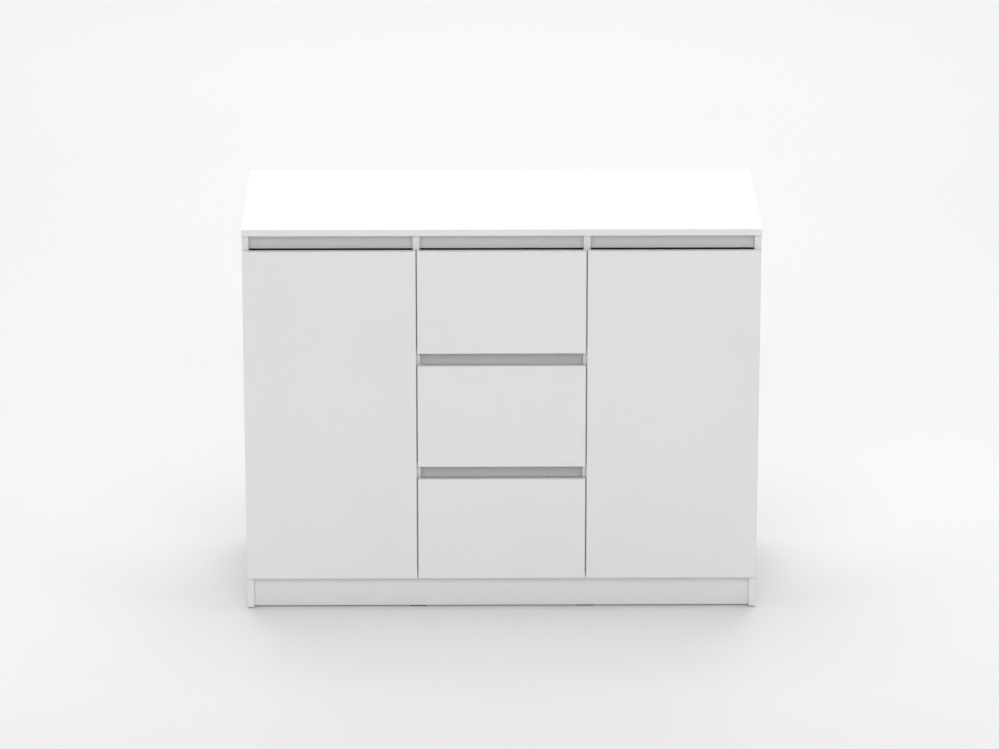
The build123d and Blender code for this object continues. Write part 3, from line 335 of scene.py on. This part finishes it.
def epoxy():
    """White epoxy-coated sheet steel: slight orange peel, and grey where the rollers have run."""
    shade = Shade("epoxy_coat")
    peel = shade.noise(1.6 * MM)
    dusty = shade.noise(35 * MM, 4.0)
    scuff = shade.between(shade.noise(5 * MM, 6.0, (1.0, 0.08, 1.0)), *SCUFFS, 0.0, 0.35)
    colour = shade.mix(shade.between(dusty, *CLOUDS), EPOXY_WHITE, EPOXY_DUSTY)
    colour = shade.mix(scuff, colour, EPOXY_SCUFFED)
    roughness = shade.between(shade.add(dusty, scuff), 0.3, 1.0, 0.30, 0.5)
    normal = shade.bump(peel, 0.03 * MM, 0.5)
    return shade.finish(colour, roughness, normal)


SCATTER = (1.0, 0.9, 0.75)  # how far red, green and blue light spread inside a soft plastic
SCATTER_REACH = 1.2 * MM


def moulded(name, light, dark, gloss, matt, soft=0.0, clear=0.0, ior=1.5):
    """Moulded plastic with a fine spark-eroded grain; soft scatters light inside, clear lets it through."""
    shade = Shade(name, ior=ior)
    shade.shader.inputs["Subsurface Weight"].default_value = soft
    shade.shader.inputs["Subsurface Radius"].default_value = SCATTER
    shade.shader.inputs["Subsurface Scale"].default_value = SCATTER_REACH
    shade.shader.inputs["Transmission Weight"].default_value = clear
    flow = shade.noise(7 * MM, 3.0)
    grain = shade.noise(0.28 * MM)
    colour = shade.mix(shade.between(flow, *CLOUDS), light, dark)
    roughness = shade.between(shade.add(shade.times(grain, 0.5), flow), 0.5, 1.1, gloss, matt)
    normal = shade.bump(grain, 0.012 * MM, 0.5)
    normal = shade.bump(flow, 0.05 * MM, 0.3, normal)
    return shade.finish(colour, roughness, normal)


BEECH_LIGHT = (0.66, 0.47, 0.29)
BEECH_DARK = (0.52, 0.34, 0.19)
BEECH_FLECK = (0.33, 0.18, 0.09)


def beech():
    """Bare beech dowels: grain drawn out along Z, with short dark flecks."""
    shade = Shade("beech")
    grain = shade.noise(0.8 * MM, 4.0, (1.0, 1.0, 0.08))
    fleck = shade.between(shade.noise(1.5 * MM, 2.0, (1.0, 1.0, 0.25)), *FEW_FLECKS, 0.0, 0.7)
    colour = shade.mix(shade.between(grain, *GRAIN), BEECH_LIGHT, BEECH_DARK)
    colour = shade.mix(fleck, colour, BEECH_FLECK)
    roughness = shade.between(grain, *GRAIN, 0.5, 0.68)
    normal = shade.bump(grain, 0.05 * MM, 0.7)
    return shade.finish(colour, roughness, normal)


EPOXY = epoxy()
NYLON = moulded("nylon", (0.80, 0.795, 0.76), (0.76, 0.75, 0.70), 0.34, 0.5, soft=0.25)
# Glide plastic in near-black: the dark colour is partly the glides' own and partly painted shadow, standing
# in for the contact shadow along the line where the cabinet meets the floor.
DARK_GLIDE_AND_SHADOW = moulded("glide_plastic_and_painted_shadow", (0.055, 0.055, 0.055), (0.035, 0.035, 0.035), 0.42, 0.6)
RUBBER = moulded(
    "clear_rubber", (0.86, 0.87, 0.87), (0.80, 0.81, 0.80), 0.2, 0.36, soft=0.2, clear=0.55, ior=1.49
)
BEECH = beech()

FINISHES = {
    NICKEL: ["hinge_plates", "hinge_arms", "shelf_pins", "back_panel_nails"],
    BRIGHT_ZINC: ["wood_screws", "confirmat_screws", "cam_bolts"],
    CAST_ZINC: ["cam_locks"],
    EPOXY: ["cabinet_runners"],
    NYLON: [],
    DARK_GLIDE_AND_SHADOW: ["glides"],
    RUBBER: ["front_bumpers"],
    BEECH: ["dowels"],
}
for side in SIDES:
    FINISHES[NICKEL] += [f"{side}_hinge_cups", f"{side}_inner_links", f"{side}_outer_links"]
    FINISHES[BRIGHT_ZINC] += [f"{side}_cup_screws"]
for number in DRAWERS:
    FINISHES[EPOXY] += [f"drawer_{number}_runners"]
    FINISHES[NYLON] += [f"drawer_{number}_front_rollers", f"drawer_{number}_rear_rollers"]
    FINISHES[BRIGHT_ZINC] += [f"drawer_{number}_fasteners"]
for material, names in FINISHES.items():
    for name in names:
        dress(name, material)


# ------------------------------------------------------------------ studio bowl
def stage_mesh(name, points, faces, material):
    """A smooth mesh that isn't part of the object."""
    mesh = bpy.data.meshes.new(name)
    mesh.from_pydata(points, [], faces)
    mesh.polygons.foreach_set("use_smooth", [True] * len(faces))
    mesh.materials.append(material)
    made = bpy.data.objects.new(name, mesh)
    bpy.context.scene.collection.objects.link(made)


def paper():
    """Matt white studio paper, faintly uneven."""
    shade = Shade("studio_paper")
    cloud = shade.noise(1.5, 3.0)
    colour = shade.mix(shade.between(cloud, *GRAIN), (0.75, 0.75, 0.75), (0.74, 0.74, 0.74))
    normal = shade.bump(shade.noise(4 * MM), 0.02 * MM, 0.2)
    return shade.finish(colour, shade.between(cloud, *GRAIN, 0.7, 0.8), normal)


FLOOR_RADIUS = 12.0
FLOOR_RINGS = 8
SWEEP_RADIUS = 4.0  # the floor's rim curves up into the wall
SWEEP_STEPS = 12
WALL_TOP = 6.5
AROUND = 96


def bowl_profile():
    """Radius and height of each ring, from the floor's middle out and up the wall."""
    rings = [(FLOOR_RADIUS * n / FLOOR_RINGS, 0.0) for n in range(1, FLOOR_RINGS + 1)]
    for step in range(1, SWEEP_STEPS + 1):
        angle = math.pi / 2 * step / SWEEP_STEPS
        radius = FLOOR_RADIUS + SWEEP_RADIUS * math.sin(angle)
        rings.append((radius, SWEEP_RADIUS * (1 - math.cos(angle))))
    rings.append((FLOOR_RADIUS + SWEEP_RADIUS, WALL_TOP))
    return rings


def studio_bowl():
    """A round floor that sweeps up into a wall, the same from every side."""
    rings = bowl_profile()
    points = [(0.0, 0.0, 0.0)]
    for radius, height in rings:
        for n in range(AROUND):
            angle = 2 * math.pi * n / AROUND
            points.append((radius * math.cos(angle), radius * math.sin(angle), height))
    faces = [(0, 1 + n, 1 + (n + 1) % AROUND) for n in range(AROUND)]
    for ring in range(len(rings) - 1):
        start = 1 + ring * AROUND
        for n in range(AROUND):
            beside = (n + 1) % AROUND
            faces.append((start + n, start + AROUND + n, start + AROUND + beside, start + beside))
    stage_mesh("studio_bowl", points, faces, paper())


studio_bowl()


# ------------------------------------------------------------------ lights
def softbox(name, place, aim, size, power):
    """A large rectangular area light, turned to face a point, and hidden from the camera itself."""
    light = bpy.data.lights.new(name, "AREA")
    light.shape = "RECTANGLE"
    light.size, light.size_y = size
    light.energy = power
    made = bpy.data.objects.new(name, light)
    bpy.context.scene.collection.objects.link(made)
    made.location = place
    made.rotation_euler = (Vector(aim) - Vector(place)).to_track_quat("-Z", "Y").to_euler()
    made.visible_camera = False


MIDDLE = (0.0, 0.0, 0.45)  # of the cabinet
TOP = (0.0, 0.0, 0.9)
UPPER_HALF = (0.0, 0.0, 0.6)
FAR_FLOOR = (0.0, 6.0, 0.0)
SOFTBOXES = {  # place, point it faces, size, power in watts
    "overhead": ((0.0, 0.0, 4.0), TOP, (4.0, 3.0), 91.0),
    "overhead_back": ((0.0, 2.5, 4.5), TOP, (5.0, 2.5), 34.0),
    "front_high": ((0.0, -7.2, 4.4), MIDDLE, (7.0, 2.4), 232.0),
    "front_low": ((0.0, -9.5, 2.8), MIDDLE, (8.0, 2.0), 70.0),
    "left_side": ((-5.0, -1.0, 2.5), MIDDLE, (4.0, 3.0), 44.0),
    "right_side": ((5.0, -1.0, 2.5), MIDDLE, (4.0, 3.0), 54.0),
    "far_floor": ((0.0, 5.5, 5.0), FAR_FLOOR, (14.0, 3.0), 340.0),
    "back_fill": ((0.0, 8.5, 4.5), UPPER_HALF, (8.0, 3.5), 120.0),
}
for name, settings in SOFTBOXES.items():
    softbox(name, *settings)

AIR_WHITE = (1.0, 1.0, 1.0, 1.0)
AIR_STRENGTH = 0.2
world = bpy.data.worlds.new("studio_air")
world.use_nodes = True
air = world.node_tree.nodes["Background"]
air.inputs["Color"].default_value = AIR_WHITE
air.inputs["Strength"].default_value = AIR_STRENGTH
bpy.context.scene.world = world
bpy.context.scene.view_settings.view_transform = "Standard"

# ------------------------------------------------------------------ camera
CAMERA_PLACE = (-0.090, -11.132, 4.169)
CAMERA_PITCH = 18.223  # degrees below the horizon
CAMERA_TURN = 0.447  # degrees towards +X
CAMERA_LENS = 177.69  # millimetres, on the sensor below
CAMERA_SENSOR = 36.0
camera_data = bpy.data.cameras.new("camera")
camera_data.lens = CAMERA_LENS
camera_data.sensor_width = CAMERA_SENSOR
camera = bpy.data.objects.new("camera", camera_data)
camera.location = CAMERA_PLACE
camera.rotation_euler = (math.radians(90 - CAMERA_PITCH), 0.0, math.radians(-CAMERA_TURN))
bpy.context.scene.collection.objects.link(camera)
bpy.context.scene.camera = camera
